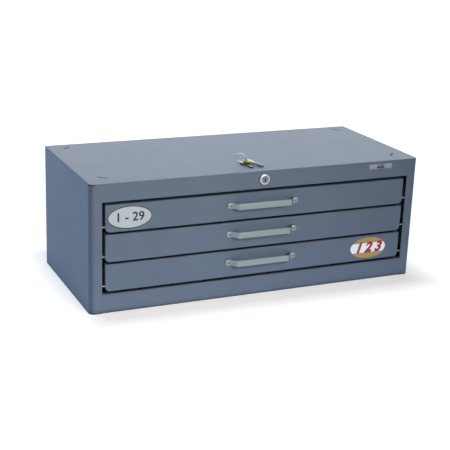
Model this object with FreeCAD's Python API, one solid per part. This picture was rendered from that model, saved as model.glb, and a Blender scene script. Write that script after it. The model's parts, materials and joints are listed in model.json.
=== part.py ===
import FreeCAD, Part
import math
import os

# Reamer dispenser cabinet: a folded steel case with three locking drawers.
# Lengths are in millimetres. X runs to the right, Y to the back and Z up. The origin is the middle
# of the base, on the surface that the cabinet stands on. The drawers open towards -Y.

# Case
case_width = 594.0
case_depth = 261.0
case_height = 214.0
case_sheet = 1.2
stile_width = 20.0
top_rail_height = 30.5
bottom_rail_height = 32.0
corner_bend = 9.0            # outer radius of the upright front bends
rear_bend = 3.0              # outer radius of the upright rear bends
rail_bend = 2.5              # outer radius of the folded edges of both rails
rail_return = 10.0           # depth of the folded-in edge of both rails
top_edge_round = 1.1
rear_flange = 12.0
bend_relief = 1.2            # open slit above each upright front bend
panel_clearance = 1.9        # between the back panel and the side walls

# Stacking slots in the top
slot_length = 20.0
slot_width = 3.0
slot_end_round = 1.47
slot_from_side = 32.0
slot_from_front = 36.0
slot_from_back = 24.0

# Drawer fronts
drawer_count = 3
front_gap = 3.5              # between neighbouring fronts
gap_over_fronts = 4.0
gap_under_fronts = 4.0
gap_beside_fronts = 5.5
front_recess = 1.0
front_sheet = 0.9
front_fold = 10.0            # depth of the folded edges
front_top_inner_round = 2.1
front_edge_inner_round = 0.3
front_corner_round = 8.0
drawer_travel = 200.0

# Drawer pans
pan_sheet = 0.9
pan_side_room = 13.0         # from the pan to the line of the stile's inner edge
pan_rear_room = 18.5         # from the pan to the rear of the case
pan_lift = 2.5               # underside of the pan above the lower edge of its front
pan_under_top = 4.5          # pan's upper edge below the upper edge of its front
hem_height = 4.8
compartments = [12, 9, 8]    # from the top drawer to the lowest
divider_sheet = 0.8
divider_drop = 3.0           # dividers below the pan's upper edge
divider_front_drop = 8.0
divider_round = 2.0
divider_step_start = 2.0     # behind the strip for the size marks
divider_step_run = 6.0       # from the low part of the upper edge to the high one
fit_gap = 0.3                # between neighbouring sheets that aren't meant to touch

# Curved scoop at the front of each pan
scoop_sheet = 0.8
scoop_foot = 8.0
scoop_upstand = 6.6          # flat part above the curve
scoop_drop = 5.0             # below the pan's upper edge

# Sloping strip for the size marks
strip_sheet = 0.8
strip_seat = 4.1
strip_reach = 14.5
strip_fall = 6.0
strip_bend = 1.0

# Runners on the case and rails on the pans
runner_sheet = 1.2
ledge_height = 10.5          # top of the ledge above the lower edge of the drawer front
ledge_gap = 2.1              # from the ledge's inner edge to the rail's upright leg
channel_height = 16.0
channel_lip = 12.0
runner_overrun = 8.0         # behind the closed drawer
rail_sheet = 1.0
rail_under_hem = 7.5         # upper edge of the rail below the pan's hem
rail_edge_gap = 1.0          # between the rail and the stile's inner edge
rail_start_gap = 2.0         # behind the folded edge of the drawer front
slide_gap = 0.2              # running clearance between rail and ledge
stop_height = 9.0
stop_reach = 12.0            # how far a stop tab stands out beyond the rail's edge
stop_gap = 0.3
rest_gap = 0.5               # between the closed rail and its rear stop

# Strap handles
handle_sheet = 1.6
handle_width = 10.3
handle_length = 129.0
handle_foot = 10.2
handle_bar = 93.0            # between the inner bends of the bar
handle_projection = 12.8
handle_rise = 2.75           # middle of the handle above the middle of the front
handle_foot_bend = 3.0
handle_bar_bend = 3.0
handle_corner_round = 3.5

# Blind rivets of the handles
rivet_hole_radius = 2.1
rivet_shank_radius = 2.0
rivet_head_radius = 3.4
rivet_head_height = 1.3
rivet_head_edge = 0.4
rivet_shoulder_radius = 2.55 # half-way point of the dome
rivet_shoulder_height = 0.85
rivet_core_radius = 1.1
rivet_core_depth = 0.9
rivet_tail_radius = 2.8
rivet_tail_length = 1.4
rivet_clear_radius = 4.5

# Cam lock in the top rail
lock_drop = 14.0             # axis below the top of the case
lock_face_radius = 9.5
lock_face_height = 3.6
lock_face_round = 1.0
barrel_radius = 8.0
barrel_length = 18.0
barrel_clearance = 0.2
plug_radius = 5.7
plug_clearance = 0.05
plug_stand = 0.5             # plug face in front of the housing's face
plug_tail = 4.0              # plug behind the housing
plug_edge_round = 0.4
keyway_width = 1.7
keyway_height = 6.4
keyway_depth = 15.0
lock_nut_flats = 19.0
lock_nut_height = 4.0
nut_clearance = 0.1

# Rod and crank from the lock to the rear
rod_radius = 2.5
rod_socket = 5.0
rod_clearance = 0.05
crank_radius = 8.0           # axis to crank pin
crank_sheet = 2.0
crank_hub_radius = 5.0
crank_pin_radius = 1.5
crank_arm_width = 6.0
crank_rest_angle = 45.0      # crank below the level, with the lock open
crank_gap = 2.6              # from the nut's rear face to the lock bar
crank_nut_flats = 8.0
crank_nut_height = 3.2
rod_end = 0.8                # rod behind the crank nut
bracket_sheet = 1.5
bracket_width = 24.0
bracket_foot = 12.0
bracket_gap = 14.0           # from the bracket to the crank
bracket_drop = 7.0           # below the rod's axis

# Lock bar behind the drawers, its guides, and the catches on the pans
bar_sheet = 2.0
bar_width = 16.0
bar_gap = 0.3
bar_head_width = 22.0
bar_head_height = 11.0
bar_slot_play = 0.35
bar_tail = 4.0               # bar below its lowest finger
finger_width = 10.0
finger_gap = 2.6             # between the pan's hem and the finger's tip
finger_tip = 10.1            # tip above the finger's arm
finger_arm_height = 0.2      # underside of the arm above the lower edge of the drawer front
catch_sheet = 1.2
catch_width = 18.0
catch_play = 1.0             # between finger and catch when the lock is shut
catch_room = 1.5             # finger tip below the catch when the lock is open
catch_lip = 11.6
catch_foot = 9.0
catch_bend = 0.6             # inner radius
guide_sheet = 1.2
guide_height = 10.0          # along the bar
guide_foot = 8.0
guide_drop = 9.2             # top of a guide below the arm of the finger above it

# Plates on the fronts
plate_width = 45.0
plate_height = 8.5
plate_from_right = 53.0
plate_from_top = 4.5
plate_sheet = 0.4
plate_round = 1.0
oval_sheet = 0.5
label_drawer = 1
label_width = 75.0
label_height = 38.5
label_from_left = 65.7
label_rise = 0.0             # middle of the plate above the middle of its drawer front
badge_drawer = 3
badge_width = 72.0
badge_height = 38.0
badge_from_right = 88.0
badge_rise = 0.25

# Keys on their ring, lying on the top
key_sheet = 1.6
key_bow_radius = 9.0
key_bow_offset = 4.5         # hole to the middle of the bow
key_hole_radius = 3.0
key_neck_width = 7.5
key_neck_length = 2.0
key_blade_width = 6.0
key_blade_length = 19.5
key_tip = 2.5
key_notch_depths = [1.4, 0.9]
key_notch_pitch = 3.1
key_notches = 5
key_angles = [-1.7, 32.8]    # turned to the right, seen from above
key_from_front = 56.3        # hole of the lower key to the front of the case
key_from_middle = -11.5
key_shift = [0.0, 3.4]       # hole moved on along the ring
key_gap = 0.15
key_rise = 1.15              # underside of the lower bow over the top, at its hole
ring_radius = 9.0
ring_wire = 0.5
ring_lean = 110.0            # from lying flat
ring_turn = -45.0            # seen from above
ring_from_hole = 4.3         # lowest point of the ring to the hole of the lower key

# How far a cutter runs past the faces it cuts, and how near an edge lies to the face it is sought on
past = 1.0
near = 0.01

# Worked-out places
half_width = case_width / 2
front_y = -case_depth / 2
back_y = case_depth / 2
opening_half = half_width - stile_width
opening_top = case_height - top_rail_height
fronts_height = opening_top - bottom_rail_height - gap_under_fronts - gap_over_fronts
front_height = (fronts_height - (drawer_count - 1) * front_gap) / drawer_count
front_middle = front_height / 2
pitch = front_height + front_gap
wall_half = half_width - case_sheet
wall_top = case_height - case_sheet
stile_back = front_y + case_sheet
flange_front = back_y - case_sheet
panel_front = flange_front - case_sheet

face_y = front_y + front_recess
face_back = face_y + front_sheet
fold_back = face_y + front_fold
front_half = opening_half - gap_beside_fronts
pan_half = opening_half - pan_side_room
pan_back = back_y - pan_rear_room
pan_inner_half = pan_half - pan_sheet
pan_wall_back = face_back + pan_sheet
floor_rise = pan_lift + pan_sheet
pan_top_rise = front_height - pan_under_top
scoop_radius = pan_top_rise - scoop_drop - scoop_upstand - floor_rise

rail_half = opening_half - rail_edge_gap
stop_half = rail_half + stop_reach
rail_front = fold_back + rail_start_gap
rail_rise = ledge_height + slide_gap
rail_top_rise = pan_top_rise - hem_height - rail_under_hem

lock_z = case_height - lock_drop
hem_back = pan_back + pan_sheet
bar_back = panel_front - bar_gap
bar_front = bar_back - bar_sheet
crank_back = bar_front - crank_gap - crank_nut_height
crank_front = crank_back - crank_sheet
pin_x = -crank_radius * math.cos(math.radians(crank_rest_angle))
pin_z = lock_z - crank_radius * math.sin(math.radians(crank_rest_angle))
tip_front = hem_back + finger_gap
tip_back = tip_front + bar_sheet
arm_top_rise = finger_arm_height + bar_sheet
tip_rise = arm_top_rise + finger_tip
catch_lip_rise = tip_rise + catch_room
catch_roof_rise = catch_lip_rise + catch_lip

made = {}


def front_bottom(number):
    """Height of the lower edge of a drawer front. Drawer 1 is the top one."""
    return bottom_rail_height + gap_under_fronts + (drawer_count - number) * pitch


def block(x0, x1, y0, y1, z0, z1):
    return Part.makeBox(x1 - x0, y1 - y0, z1 - z0, FreeCAD.Vector(x0, y0, z0))


def in_xy(a, b, c):
    return FreeCAD.Vector(a, b, c)


def in_xz(a, b, c):
    return FreeCAD.Vector(a, c, b)


def in_yz(a, b, c):
    return FreeCAD.Vector(c, a, b)


def corner_arc(before, corner, after, radius):
    """Start, middle and end of the arc that rounds a corner of an outline."""
    point = FreeCAD.Vector(corner[0], corner[1], 0)
    back = (FreeCAD.Vector(before[0], before[1], 0) - point).normalize()
    ahead = (FreeCAD.Vector(after[0], after[1], 0) - point).normalize()
    half = back.getAngle(ahead) / 2
    middle_way = (back + ahead).normalize()
    start = point + back * (radius / math.tan(half))
    end = point + ahead * (radius / math.tan(half))
    middle = point + middle_way * (radius / math.sin(half) - radius)
    return start, middle, end


def outline_face(corners, plane, level):
    """Flat face from corners (a, b, radius), where plane gives the point in space."""
    edges = []
    count = len(corners)
    arcs = []
    for i in range(count):
        a, b, radius = corners[i]
        if radius > 0:
            arcs.append(corner_arc(corners[i - 1], corners[i], corners[(i + 1) % count], radius))
        else:
            point = FreeCAD.Vector(a, b, 0)
            arcs.append((point, point, point))
    for i in range(count):
        start, middle, end = [plane(p.x, p.y, level) for p in arcs[i]]
        if corners[i][2] > 0:
            edges.append(Part.Arc(start, middle, end).toShape())
        following = arcs[(i + 1) % count][0]
        following = plane(following.x, following.y, level)
        if not end.isEqual(following, near / 1000):
            edges.append(Part.LineSegment(end, following).toShape())
    return Part.Face(Part.Wire(edges))


def along_x(corners, x0, x1):
    """Prism of an outline in (y, z)."""
    return outline_face(corners, in_yz, x0).extrude(FreeCAD.Vector(x1 - x0, 0, 0))


def along_y(corners, y0, y1):
    """Prism of an outline in (x, z)."""
    return outline_face(corners, in_xz, y0).extrude(FreeCAD.Vector(0, y1 - y0, 0))


def along_z(corners, z0, z1):
    """Prism of an outline in (x, y)."""
    return outline_face(corners, in_xy, z0).extrude(FreeCAD.Vector(0, 0, z1 - z0))


def bent_strip(path, thickness):
    """Outline of a folded sheet: path (a, b, radius) is one face, and the sheet lies to its left."""
    count = len(path)
    normals = []
    for i in range(count - 1):
        run_a = path[i + 1][0] - path[i][0]
        run_b = path[i + 1][1] - path[i][1]
        length = math.hypot(run_a, run_b)
        normals.append((-run_b / length, run_a / length))
    other = []
    for i in range(count):
        first = normals[max(i - 1, 0)]
        second = normals[min(i, count - 2)]
        scale = thickness / (1 + first[0] * second[0] + first[1] * second[1])
        a = path[i][0] + (first[0] + second[0]) * scale
        b = path[i][1] + (first[1] + second[1]) * scale
        left_turn = first[0] * second[1] - first[1] * second[0] > 0
        radius = path[i][2]
        if 0 < i < count - 1:
            radius = max(radius - thickness, 0) if left_turn else radius + thickness
        other.append((a, b, radius))
    return list(path) + other[::-1]


def mirrored(shape):
    """The same piece for the other side of the cabinet."""
    return shape.mirror(FreeCAD.Vector(0, 0, 0), FreeCAD.Vector(1, 0, 0))


def rod_along_y(radius, y0, y1, x, z):
    return Part.makeCylinder(radius, y1 - y0, FreeCAD.Vector(x, y0, z), FreeCAD.Vector(0, 1, 0))


def hexagon_along_y(flats, y0, y1, x, z):
    corners = []
    for i in range(6):
        angle = math.radians(60 * i)
        reach = flats / 2 / math.cos(math.radians(30))
        corners.append((x + reach * math.cos(angle), z + reach * math.sin(angle), 0))
    return along_y(corners, y0, y1)


def oval_along_y(width, height, y0, y1, x, z):
    ellipse = Part.Ellipse(FreeCAD.Vector(x, y0, z), width / 2, height / 2)
    ellipse.Axis = FreeCAD.Vector(0, -1, 0)
    ellipse.XAxis = FreeCAD.Vector(1, 0, 0)
    face = Part.Face(Part.Wire([ellipse.toShape()]))
    return face.extrude(FreeCAD.Vector(0, y1 - y0, 0))


def keep(name, shape):
    made[name] = shape


# Case

def side_panel():
    """Right side wall with its stile, its round front bend and its rear flange."""
    path = [(opening_half, front_y, 0),
            (half_width, front_y, corner_bend),
            (half_width, back_y, rear_bend),
            (half_width - rear_flange, back_y, 0)]
    panel = along_z(bent_strip(path, case_sheet), 0, wall_top)
    bend_start = half_width - corner_bend
    relief = block(bend_start, half_width + past, front_y - past, front_y + corner_bend,
                   wall_top - bend_relief, wall_top + past)
    return panel.cut(relief)


def stacking_slot(x, y, angle):
    """Cutter for one diagonal slot with round ends."""
    half = slot_length / 2
    end = slot_width / 2
    corners = [(-half, -end, slot_end_round), (half, -end, slot_end_round),
               (half, end, slot_end_round), (-half, end, slot_end_round)]
    cutter = along_z(corners, wall_top - past, case_height + past)
    cutter.rotate(FreeCAD.Vector(0, 0, 0), FreeCAD.Vector(0, 0, 1), angle)
    cutter.translate(FreeCAD.Vector(x, y, 0))
    return cutter


def top_panel():
    """Top sheet with the front top rail, its folded-in edge, a rear flange and four slots."""
    sheet = along_z([(-half_width, front_y, corner_bend), (half_width, front_y, corner_bend),
                     (half_width, back_y, rear_bend), (-half_width, back_y, rear_bend)],
                    wall_top, case_height)
    rail_path = [(front_y, case_height, 0),
                 (front_y, opening_top, rail_bend),
                 (front_y + rail_return, opening_top, 0)]
    rail = along_x(bent_strip(rail_path, case_sheet), -opening_half, opening_half)
    flange_half = half_width - rear_flange - fit_gap
    flange = block(-flange_half, flange_half, flange_front, back_y,
                   case_height - rear_flange, case_height)
    panel = sheet.fuse([rail, flange]).removeSplitter()
    rim = [edge for edge in panel.Edges if edge.BoundBox.ZMin > case_height - near]
    panel = panel.makeFillet(top_edge_round, rim)
    slot_x = half_width - slot_from_side
    slot_front = front_y + slot_from_front
    slot_back = back_y - slot_from_back
    cutters = [stacking_slot(-slot_x, slot_front, -45), stacking_slot(slot_x, slot_front, 45),
               stacking_slot(-slot_x, slot_back, 45), stacking_slot(slot_x, slot_back, -45),
               rod_along_y(barrel_radius + barrel_clearance, front_y - past, stile_back + past, 0, lock_z)]
    return panel.cut(cutters)


def bottom_panel():
    """Bottom sheet with the bottom rail in front, its folded-in edge and a rear flange."""
    corner = corner_bend - case_sheet + fit_gap
    sheet = along_z([(-wall_half, stile_back, corner), (wall_half, stile_back, corner),
                     (wall_half, flange_front - rear_bend, 0), (-wall_half, flange_front - rear_bend, 0)],
                    0, case_sheet)
    rail_path = [(front_y + rail_return, bottom_rail_height, 0),
                 (front_y, bottom_rail_height, rail_bend),
                 (front_y, 0, case_sheet + fit_gap),
                 (front_y + rail_return, 0, 0)]
    rail = along_x(bent_strip(rail_path, case_sheet), -opening_half, opening_half)
    flange_half = half_width - rear_flange - fit_gap
    tail_path = [(flange_front - rear_bend, 0, 0), (back_y, 0, rear_bend), (back_y, rear_flange, 0)]
    tail = along_x(bent_strip(tail_path, case_sheet), -flange_half, flange_half)
    return sheet.fuse([rail, tail]).removeSplitter()


def back_panel():
    """Flat rear sheet that lies inside the flanges."""
    half = wall_half - panel_clearance
    return block(-half, half, panel_front, flange_front, rear_bend, wall_top)


def runner(number):
    """Right runner of one drawer: a channel on the side wall with a ledge and two stop tabs."""
    ledge_top = front_bottom(number) + ledge_height
    ledge_inner = pan_half + rail_sheet + ledge_gap
    under = ledge_top - runner_sheet
    roof = ledge_top + channel_height + runner_sheet
    path = [(ledge_inner, under, 0),
            (wall_half, under, runner_sheet + fit_gap),
            (wall_half, roof, runner_sheet + fit_gap),
            (wall_half - channel_lip, roof, 0)]
    back = pan_back + runner_overrun
    channel = along_y(bent_strip(path, runner_sheet), stile_back, back)
    bend_inner = half_width - corner_bend
    bend_end = front_y + corner_bend + fit_gap
    front_room = fold_back + rail_start_gap
    channel = channel.cut([
        block(bend_inner - past, half_width, stile_back - past, bend_end, under - past, roof + past),
        block(0, half_width, stile_back - past, front_room, ledge_top, roof + past),
        block(0, front_half + fit_gap, stile_back - past, front_room, under - past, roof + past)])
    tab_inner = opening_half + rail_edge_gap
    tab_outer = stop_half + rail_edge_gap
    tab_back = pan_back - rail_sheet - drawer_travel - stop_gap
    front_tab = block(tab_inner, tab_outer, tab_back - runner_sheet, tab_back,
                      under, ledge_top + stop_height)
    rest_y = pan_back + rest_gap
    rear_tab = block(ledge_inner, tab_outer, rest_y, rest_y + runner_sheet,
                     under, ledge_top + stop_height)
    return channel.fuse([front_tab, rear_tab]).removeSplitter()


def name_plate():
    """Small bare plate at the right of the top rail."""
    x1 = half_width - plate_from_right
    x0 = x1 - plate_width
    z1 = case_height - plate_from_top
    z0 = z1 - plate_height
    corners = [(x0, z0, plate_round), (x1, z0, plate_round), (x1, z1, plate_round), (x0, z1, plate_round)]
    return along_y(corners, front_y - plate_sheet, front_y)


# Drawers

def front_shape(inset, y0, y1):
    """Block of a drawer front with round lower corners and a rounded upper front edge."""
    half = front_half - inset
    low = inset
    high = front_height - inset
    corner = front_corner_round - inset
    grown = front_sheet - inset
    solid = along_y([(-half, low, corner), (half, low, corner), (half, high, 0), (-half, high, 0)], y0, y1)
    upper = [edge for edge in solid.Edges
             if edge.BoundBox.YMax < y0 + near and edge.BoundBox.ZMin > high - near]
    solid = solid.makeFillet(front_top_inner_round + grown, upper)
    below = high - front_top_inner_round - grown - near
    others = [edge for edge in solid.Edges
              if edge.BoundBox.YMax < y0 + near and edge.BoundBox.ZMin < below]
    return solid.makeFillet(front_edge_inner_round + grown, others)


def rivet_places(number):
    x = (handle_length - handle_foot) / 2
    z = front_bottom(number) + front_middle + handle_rise
    return [(-x, z), (x, z)]


def rivet_holes(number, radius, y0, y1):
    return [rod_along_y(radius, y0, y1, x, z) for x, z in rivet_places(number)]


def drawer_front(number):
    """Folded front sheet with its edges turned back."""
    outside = front_shape(0, face_y, fold_back)
    inside = front_shape(front_sheet, face_back, fold_back + past)
    panel = outside.cut(inside)
    panel.translate(FreeCAD.Vector(0, 0, front_bottom(number)))
    return panel.cut(rivet_holes(number, rivet_hole_radius, face_y - past, face_back + past))


def drawer_pan(number):
    """Open tray with a safe edge folded outwards along its sides and its back."""
    low = front_bottom(number) + pan_lift
    high = front_bottom(number) + pan_top_rise
    tray = block(-pan_half, pan_half, face_back, pan_back, low, high)
    room = block(-pan_inner_half, pan_inner_half, pan_wall_back, pan_back - pan_sheet,
                 low + pan_sheet, high + past)
    hem_low = high - hem_height
    hems = block(-pan_half - pan_sheet, pan_half + pan_sheet, rail_front, hem_back, hem_low, high)
    hems = hems.cut(block(-pan_half, pan_half, face_back - past, pan_back, hem_low - past, high + past))
    pan = tray.fuse(hems).removeSplitter().cut(room)
    return pan.cut(rivet_holes(number, rivet_hole_radius, face_back - past, pan_wall_back + past))


def scoop(number):
    """Curved sheet in the front of the pan, up which a reamer is rolled out."""
    floor = front_bottom(number) + floor_rise
    path = [(pan_wall_back, floor + scoop_radius + scoop_upstand, 0),
            (pan_wall_back, floor, scoop_radius),
            (pan_wall_back + scoop_radius + scoop_foot, floor, 0)]
    half = pan_inner_half - fit_gap
    sheet = along_x(bent_strip(path, scoop_sheet), -half, half)
    return sheet.cut(rivet_holes(number, rivet_clear_radius, pan_wall_back - past,
                                 pan_wall_back + scoop_radius / 2))


def divider_outline(number):
    """Side view of a divider, which follows the scoop in front."""
    floor = front_bottom(number) + floor_rise
    high = front_bottom(number) + pan_top_rise - divider_drop
    front_high = front_bottom(number) + pan_top_rise - divider_front_drop
    step = scoop_sheet + fit_gap
    front = pan_wall_back + step
    foot_end = pan_wall_back + scoop_radius + scoop_foot + fit_gap
    rear = pan_back - pan_sheet
    step_start = face_back + strip_seat + strip_reach + divider_step_start
    step_end = step_start + divider_step_run
    return [(front, floor + step, scoop_radius - step),
            (foot_end, floor + step, 0),
            (foot_end, floor, 0),
            (rear, floor, 0),
            (rear, high, divider_round),
            (step_end, high, divider_round),
            (step_start, front_high, divider_round),
            (front, front_high, 0)]


def dividers(number):
    """Upright sheets between the compartments, each a solid of its own."""
    count = compartments[number - 1]
    step = (2 * pan_inner_half + divider_sheet) / count
    plates = []
    for i in range(1, count):
        x = -pan_inner_half - divider_sheet + i * step
        plates.append(along_x(divider_outline(number), x, x + divider_sheet))
    return Part.makeCompound(plates)


def label_strip(number):
    """Sloping strip over the front of the compartments, which carries their numbers."""
    seat = front_bottom(number) + pan_top_rise
    path = [(face_back, seat, 0),
            (face_back + strip_seat, seat, strip_bend),
            (face_back + strip_seat + strip_reach, seat - strip_fall, 0)]
    half = pan_inner_half - fit_gap
    return along_x(bent_strip(path, strip_sheet), -half, half)


def slide_rail(number):
    """Right rail on the pan, with an upright leg, a running leg and a stop tab at its rear."""
    low = front_bottom(number) + rail_rise
    path = [(pan_half, front_bottom(number) + rail_top_rise, 0),
            (pan_half, low, rail_sheet + fit_gap),
            (rail_half, low, 0)]
    rail = along_y(bent_strip(path, rail_sheet), rail_front, pan_back)
    tab = block(pan_half + 2 * rail_sheet, stop_half, pan_back - rail_sheet, pan_back,
                low, low + stop_height)
    return rail.fuse(tab).removeSplitter()


def handle(number):
    """Flat steel strap, bent into a pull with two feet."""
    foot_in = handle_length / 2 - handle_foot
    bar_half = handle_bar / 2
    bar_y = face_y - handle_projection + handle_sheet
    path = [(handle_length / 2, face_y, 0),
            (foot_in, face_y, handle_foot_bend),
            (bar_half, bar_y, handle_bar_bend),
            (-bar_half, bar_y, handle_bar_bend),
            (-foot_in, face_y, handle_foot_bend),
            (-handle_length / 2, face_y, 0)]
    middle = front_bottom(number) + front_middle + handle_rise
    low = middle - handle_width / 2
    high = middle + handle_width / 2
    strap = along_z(bent_strip(path, handle_sheet), low, high)
    half = handle_length / 2
    rounded = along_y([(-half, low, handle_corner_round), (half, low, handle_corner_round),
                       (half, high, handle_corner_round), (-half, high, handle_corner_round)],
                      face_y - handle_projection - past, face_y)
    strap = strap.common(rounded)
    return strap.cut(rivet_holes(number, rivet_hole_radius, face_y - handle_sheet - past, face_y + past))


def rivet(x, z):
    """Blind rivet: hollow domed head in front, shank, and set tail behind the pan's front wall."""
    seat = face_y - handle_sheet
    tip = seat - rivet_head_height
    tail = pan_wall_back
    end = tail + rivet_tail_length
    points = [(0, tip + rivet_core_depth), (rivet_core_radius, tip + rivet_core_depth),
              (rivet_core_radius, tip)]
    dome = [(rivet_shoulder_radius, seat - rivet_shoulder_height),
            (rivet_head_radius, seat - rivet_head_edge)]
    rest = [(rivet_head_radius, seat), (rivet_shank_radius, seat), (rivet_shank_radius, tail),
            (rivet_tail_radius, tail), (rivet_tail_radius, tail + rivet_tail_length / 2),
            (rivet_shank_radius, end), (0, end), (0, tip + rivet_core_depth)]

    def at(pair):
        return FreeCAD.Vector(x + pair[0], pair[1], z)

    edges = [Part.LineSegment(at(a), at(b)).toShape() for a, b in zip(points[:-1], points[1:])]
    edges.append(Part.Arc(at(points[-1]), at(dome[0]), at(dome[1])).toShape())
    chain = [dome[1]] + rest
    edges += [Part.LineSegment(at(a), at(b)).toShape() for a, b in zip(chain, chain[1:])]
    face = Part.Face(Part.Wire(edges))
    return face.revolve(FreeCAD.Vector(x, 0, z), FreeCAD.Vector(0, 1, 0), 360)


def handle_rivets(number):
    return Part.makeCompound([rivet(x, z) for x, z in rivet_places(number)])


def catch(number):
    """Channel on the pan's back wall, open below, whose lip the raised finger of the lock bar holds."""
    base = front_bottom(number)
    roof = base + catch_roof_rise
    lip_y = tip_back + catch_play + catch_sheet
    path = [(lip_y, base + catch_lip_rise, 0),
            (lip_y, roof, catch_sheet + catch_bend),
            (pan_back, roof, catch_sheet + catch_bend),
            (pan_back, roof - catch_foot, 0)]
    return along_x(bent_strip(path, catch_sheet), -catch_width / 2, catch_width / 2)


def oval_label():
    """Oval plate at the left of one drawer."""
    return oval_along_y(label_width, label_height, face_y - oval_sheet, face_y,
                        label_from_left - half_width, front_bottom(label_drawer) + front_middle + label_rise)


def oval_badge():
    """Oval plate at the right of another drawer."""
    return oval_along_y(badge_width, badge_height, face_y - oval_sheet, face_y,
                        half_width - badge_from_right,
                        front_bottom(badge_drawer) + front_middle + badge_rise)


# Lock

def lock_housing():
    """Cam lock housing: round face in front of the rail and a barrel behind it."""
    face = rod_along_y(lock_face_radius, front_y - lock_face_height, front_y, 0, lock_z)
    rim = [edge for edge in face.Edges if edge.BoundBox.YMax < front_y - lock_face_height + near]
    face = face.makeFillet(lock_face_round, rim)
    barrel = rod_along_y(barrel_radius, front_y, front_y + barrel_length, 0, lock_z)
    bore = rod_along_y(plug_radius + plug_clearance, front_y - lock_face_height - past,
                       front_y + barrel_length + past, 0, lock_z)
    return face.fuse(barrel).removeSplitter().cut(bore)


def lock_nut():
    """Nut that holds the housing against the rear of the top rail."""
    nut = hexagon_along_y(lock_nut_flats, stile_back, stile_back + lock_nut_height, 0, lock_z)
    return nut.cut(rod_along_y(barrel_radius + nut_clearance, stile_back - past,
                               stile_back + lock_nut_height + past, 0, lock_z))


def plug_end():
    return front_y + barrel_length + plug_tail


def lock_plug():
    """Turning plug with its keyway in front and the rod's socket behind."""
    start = front_y - lock_face_height - plug_stand
    plug = rod_along_y(plug_radius, start, plug_end(), 0, lock_z)
    rim = [edge for edge in plug.Edges if edge.BoundBox.YMax < start + near]
    plug = plug.makeFillet(plug_edge_round, rim)
    keyway = block(-keyway_width / 2, keyway_width / 2, start - past, start + keyway_depth,
                   lock_z - keyway_height / 2, lock_z + keyway_height / 2)
    socket = rod_along_y(rod_radius + rod_clearance, plug_end() - rod_socket, plug_end() + past, 0, lock_z)
    return plug.cut([keyway, socket])


def lock_rod():
    """Rod from the plug to the crank at the rear."""
    rear = crank_back + crank_nut_height + rod_end
    return rod_along_y(rod_radius, plug_end() - rod_socket, rear, 0, lock_z)


def crank():
    """Crank on the rod's rear end, with the pin that lifts the lock bar."""
    half = crank_arm_width / 2
    hub = rod_along_y(crank_hub_radius, crank_front, crank_back, 0, lock_z)
    boss = rod_along_y(half, crank_front, crank_back, pin_x, pin_z)
    arm = block(-crank_radius, 0, crank_front, crank_back, -half, half)
    arm.rotate(FreeCAD.Vector(0, 0, 0), FreeCAD.Vector(0, 1, 0), -crank_rest_angle)
    arm.translate(FreeCAD.Vector(0, 0, lock_z))
    pin = rod_along_y(crank_pin_radius, crank_front, bar_back - bar_gap, pin_x, pin_z)
    hole = rod_along_y(rod_radius + rod_clearance, crank_front - past, crank_back + past, 0, lock_z)
    return hub.fuse([boss, arm, pin]).removeSplitter().cut(hole)


def crank_nut():
    nut = hexagon_along_y(crank_nut_flats, crank_back, crank_back + crank_nut_height, 0, lock_z)
    return nut.cut(rod_along_y(rod_radius + rod_clearance, crank_back - past,
                               crank_back + crank_nut_height + past, 0, lock_z))


def rod_bracket():
    """Bearing bracket under the top sheet, near the rod's rear end."""
    plate_back = crank_front - bracket_gap
    path = [(plate_back, lock_z - bracket_drop, 0),
            (plate_back, wall_top, bracket_sheet + fit_gap),
            (plate_back - bracket_foot, wall_top, 0)]
    bracket = along_x(bent_strip(path, bracket_sheet), -bracket_width / 2, bracket_width / 2)
    hole = rod_along_y(rod_radius + rod_clearance, plate_back - bracket_foot, plate_back + past, 0, lock_z)
    return bracket.cut(hole)


def lock_bar():
    """Upright bar behind the drawers, with one hooked finger for each drawer and a slot for the pin."""
    head_top = pin_z + bar_head_height / 2
    low = front_bottom(drawer_count) + finger_arm_height - bar_tail
    bar = block(-bar_width / 2, bar_width / 2, bar_front, bar_back, low, head_top)
    head = block(bar_width / 2 - bar_head_width, bar_width / 2, bar_front, bar_back,
                 head_top - bar_head_height, head_top)
    parts = [head]
    for number in range(1, drawer_count + 1):
        arm_low = front_bottom(number) + finger_arm_height
        path = [(tip_front, arm_low + bar_sheet + finger_tip, 0),
                (tip_front, arm_low, bar_sheet + fit_gap),
                (bar_back, arm_low, 0)]
        parts.append(along_x(bent_strip(path, bar_sheet), -finger_width / 2, finger_width / 2))
    bar = bar.fuse(parts).removeSplitter()
    slot_half = crank_pin_radius + bar_slot_play
    slot = block(-crank_radius - slot_half, pin_x + slot_half, bar_front - past, bar_back + past,
                 pin_z - slot_half, pin_z + slot_half)
    return bar.cut(slot)


def bar_guide(number):
    """Staple on the back panel that straddles the lock bar."""
    low = front_bottom(number) + pitch + finger_arm_height - guide_drop - guide_height
    inner = bar_width / 2 + bar_gap
    outer = inner + guide_sheet
    strap_back = bar_front - bar_gap
    strap_front = strap_back - guide_sheet
    bridge = block(-outer, outer, strap_front, panel_front, low, low + guide_height)
    room = block(-inner, inner, strap_back, panel_front + past, low - past, low + guide_height + past)
    foot_front = panel_front - guide_sheet
    high = low + guide_height
    feet = [block(-outer - guide_foot, -inner, foot_front, panel_front, low, high),
            block(inner, outer + guide_foot, foot_front, panel_front, low, high)]
    return bridge.cut(room).fuse(feet).removeSplitter()


def bar_guides():
    return Part.makeCompound([bar_guide(1), bar_guide(drawer_count)])


# Keys

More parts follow.
